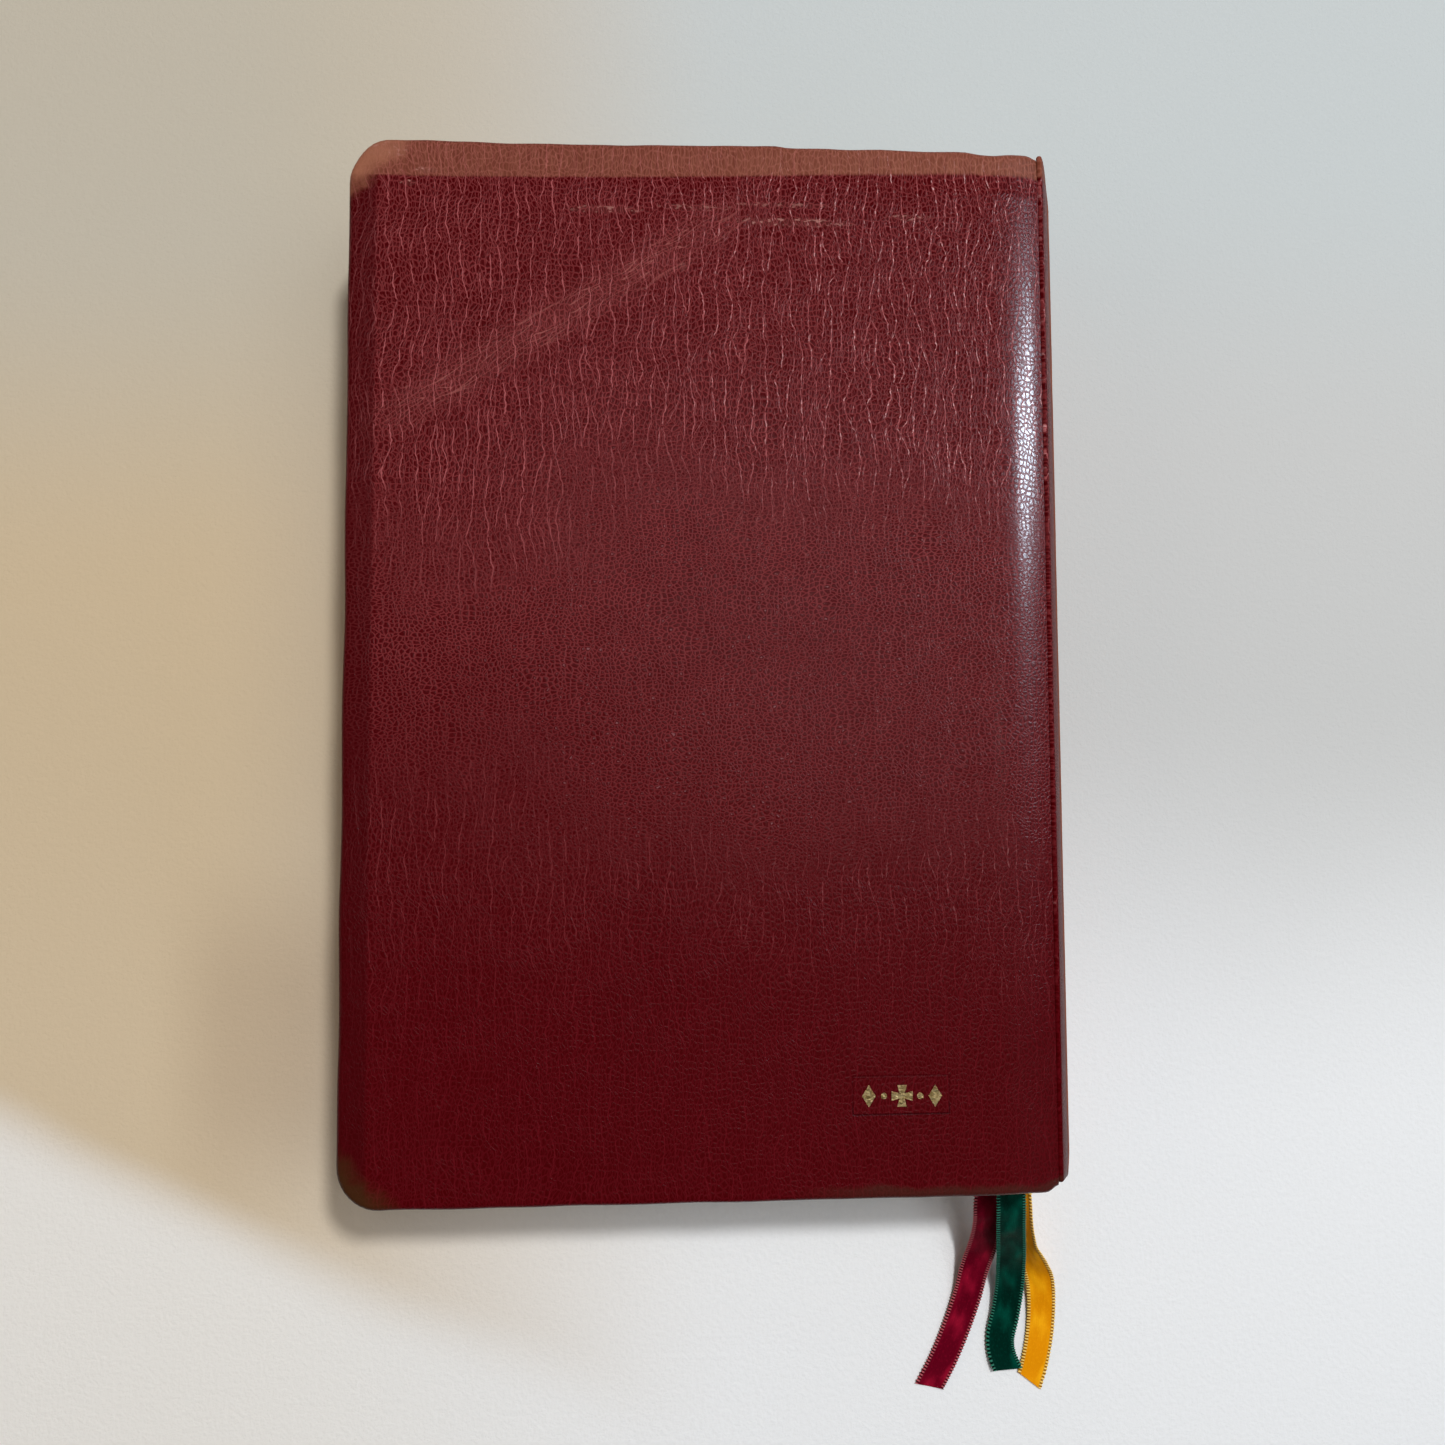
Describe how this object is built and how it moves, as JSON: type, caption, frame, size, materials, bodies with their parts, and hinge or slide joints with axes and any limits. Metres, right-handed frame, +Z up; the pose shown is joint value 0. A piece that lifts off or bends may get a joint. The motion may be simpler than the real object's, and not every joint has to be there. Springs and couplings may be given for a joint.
{
  "type": "prayer book",
  "caption": "Leather-bound prayer book with flexible hinged covers, rounded spine, sewn sections, head and tail bands and ribbon markers.",
  "frame": {"origin": "middle of the closed book's underside, the surface that it lies on", "axes": "+X from the fore-edge to the spine, +Y from the tail to the head, +Z up, through the book from its front cover to its back cover"},
  "size_m": [0.1515, 0.2629, 0.042],
  "materials": {
    "burgundy_leather": "satin",
    "board_card": "matte",
    "spine_card": "matte",
    "lining_paper": "matte",
    "mull_gauze": "matte",
    "linen_thread": "matte",
    "endpaper": "matte",
    "bible_paper": "satin",
    "headband_silk": "matte",
    "ribbon_red": "satin",
    "ribbon_green": "satin",
    "ribbon_yellow": "satin"
  },
  "bodies": {
    "text_block": {"spine_leather": "burgundy_leather", "spine_inlay": "spine_card", "spine_paper_lining": "lining_paper", "spine_mull": "mull_gauze", "kettle_stitch_tail": "linen_thread", "sewing_thread_tail": "linen_thread", "sewing_thread_middle": "linen_thread", "sewing_thread_head": "linen_thread", "kettle_stitch_head": "linen_thread", "headband_head": "headband_silk", "headband_tail": "headband_silk", "pages_01": "bible_paper", "pages_02": "bible_paper", "pages_03": "bible_paper", "pages_04": "bible_paper", "pages_05": "bible_paper", "pages_06": "bible_paper", "pages_07": "bible_paper", "pages_08": "bible_paper", "pages_09": "bible_paper", "ribbon_red_inner": "ribbon_red", "ribbon_red_tail": "ribbon_red", "ribbon_green_inner": "ribbon_green", "ribbon_green_tail": "ribbon_green", "ribbon_yellow_inner": "ribbon_yellow", "ribbon_yellow_tail": "ribbon_yellow"},
    "back_cover": {"back_cover_leather": "burgundy_leather", "back_cover_board": "board_card", "back_pastedown": "endpaper"},
    "front_cover": {"front_cover_leather": "burgundy_leather", "front_cover_board": "board_card", "front_pastedown": "endpaper"},
    "back_flyleaf": {"back_flyleaf": "endpaper"},
    "front_flyleaf": {"front_flyleaf": "endpaper"},
    "pages_12": {"pages_12": "bible_paper"},
    "pages_11": {"pages_11": "bible_paper"},
    "pages_10": {"pages_10": "bible_paper"}
  },
  "joints": [
    {"name": "back_cover_hinge", "type": "hinge", "parent": "text_block", "child": "back_cover", "pos_m": [0.06815, 0, 0.0404], "axis": [0, 1, 0], "range_deg": [0, 179]},
    {"name": "front_cover_hinge", "type": "hinge", "parent": "text_block", "child": "front_cover", "pos_m": [0.06815, 0, 0.0019], "axis": [0, -1, 0], "range_deg": [0, 179]},
    {"name": "back_flyleaf_turn", "type": "hinge", "parent": "text_block", "child": "back_flyleaf", "pos_m": [0.06394, 0, 0.0385], "axis": [0, 1, 0], "range_deg": [0, 90]},
    {"name": "front_flyleaf_turn", "type": "hinge", "parent": "text_block", "child": "front_flyleaf", "pos_m": [0.06815, 0, 0.0019], "axis": [0, -1, 0], "range_deg": [0, 179]},
    {"name": "pages_12_turn", "type": "hinge", "parent": "text_block", "child": "pages_12", "pos_m": [0.06394, 0, 0.0379], "axis": [0, 1, 0], "range_deg": [0, 45]},
    {"name": "pages_11_turn", "type": "hinge", "parent": "text_block", "child": "pages_11", "pos_m": [0.06551, 0, 0.03521], "axis": [0, 1, 0], "range_deg": [0, 15]},
    {"name": "pages_10_turn", "type": "hinge", "parent": "text_block", "child": "pages_10", "pos_m": [0.06673, 0, 0.03252], "axis": [0, 1, 0], "range_deg": [0, 5]}
  ],
  "couplings": [
    {"joint": "back_flyleaf_turn", "follows": "back_cover_hinge", "ratio": 0.5},
    {"joint": "pages_12_turn", "follows": "back_cover_hinge", "ratio": 0.25},
    {"joint": "pages_11_turn", "follows": "back_cover_hinge", "ratio": 0.0833},
    {"joint": "pages_10_turn", "follows": "back_cover_hinge", "ratio": 0.0277},
    {"joint": "front_flyleaf_turn", "follows": "front_cover_hinge", "ratio": 1}
  ]
}
